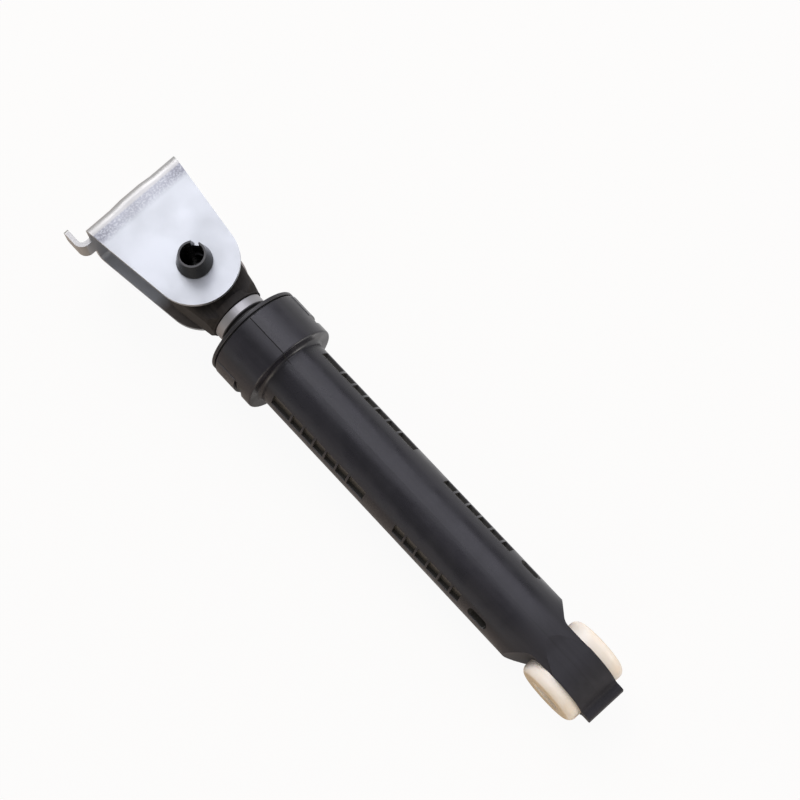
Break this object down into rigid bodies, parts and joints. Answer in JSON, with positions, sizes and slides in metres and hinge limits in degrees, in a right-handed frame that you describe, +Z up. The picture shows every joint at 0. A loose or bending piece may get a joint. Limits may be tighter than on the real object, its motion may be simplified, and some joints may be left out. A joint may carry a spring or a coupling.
{
  "type": "washing machine shock absorber",
  "caption": "Friction damper with a black tube barrel, ear bush, sliding steel rod and a folded sheet bracket that turns on a snap pin at the rod's eye.",
  "frame": {"origin": "centre of the ear bush bore", "axes": "+X along the damper from the ear to the bracket, +Y along the ear bush bore, +Z up along the bracket pin at rest"},
  "size_m": [0.2837, 0.0519, 0.046],
  "materials": {
    "black_moulding": "satin black moulded plastic",
    "cap_moulding": "satin black moulded plastic",
    "washer_plastic": "plain moulded plastic",
    "lining_foam": "greased foam",
    "cream_bush": "cream moulded plastic",
    "guide_plastic": "plain moulded plastic",
    "rod_steel": "drawn steel tube",
    "eye_moulding": "dull black moulded plastic",
    "eye_rubber": "black rubber",
    "zinc_sheet": "bright zinc plating",
    "pin_plastic": "glossy black plastic"
  },
  "bodies": {
    "barrel": {"housing": "black_moulding", "head_cap": "cap_moulding", "lining_washer": "washer_plastic", "friction_lining": "lining_foam", "ear_bush_left": "cream_bush", "ear_bush_right": "cream_bush"},
    "guide": {"guide_ring": "guide_plastic"},
    "rod": {"rod_tube": "rod_steel", "rod_eye": "eye_moulding", "eye_bush_upper": "eye_rubber", "eye_bush_lower": "eye_rubber"},
    "bracket": {"bracket": "zinc_sheet", "clip_pin": "pin_plastic"}
  },
  "joints": [
    {"name": "rod_slide", "type": "slide", "parent": "barrel", "child": "guide", "axis": [1, 0, 0], "range_m": [-0.006, 0.11]},
    {"name": "rod_swivel", "type": "hinge", "parent": "guide", "child": "rod", "pos_m": [0.044, 0, 0], "axis": [1, 0, 0], "continuous": true},
    {"name": "bracket_pivot", "type": "hinge", "parent": "rod", "child": "bracket", "pos_m": [0.2159, 0, 0], "axis": [0, 0, 1], "range_deg": [-90, 90]}
  ]
}
